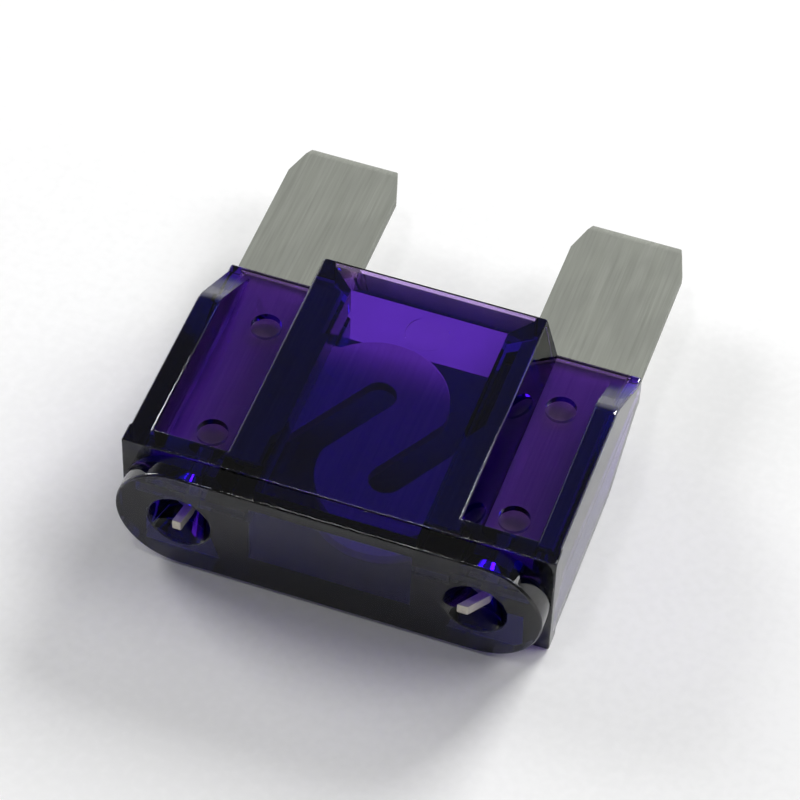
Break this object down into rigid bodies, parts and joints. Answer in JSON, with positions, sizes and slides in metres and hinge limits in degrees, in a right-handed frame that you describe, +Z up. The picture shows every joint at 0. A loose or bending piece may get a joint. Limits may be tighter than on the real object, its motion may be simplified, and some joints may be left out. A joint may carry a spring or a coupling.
{
  "type": "automotive blade fuse",
  "caption": "Large automotive blade fuse with a transparent violet moulded body, flat metal blades and an S-shaped fusible link seen through it.",
  "frame": {"origin": "under the middle of the outline as the fuse lies flat, on the plane that it rests on", "axes": "+X across the two blades, +Y from the head towards the blade tips, +Z up through the thickness"},
  "size_m": [0.0292, 0.0346, 0.0089],
  "materials": {
    "violet_plastic": "clear violet moulded plastic, polished faces with fine mould marks",
    "strip_metal": "tin-plated zinc strip, dull grey with faint rolling marks along the blades"
  },
  "bodies": {
    "root": {"housing": "violet_plastic", "fuse_element": "strip_metal"}
  },
  "joints": []
}
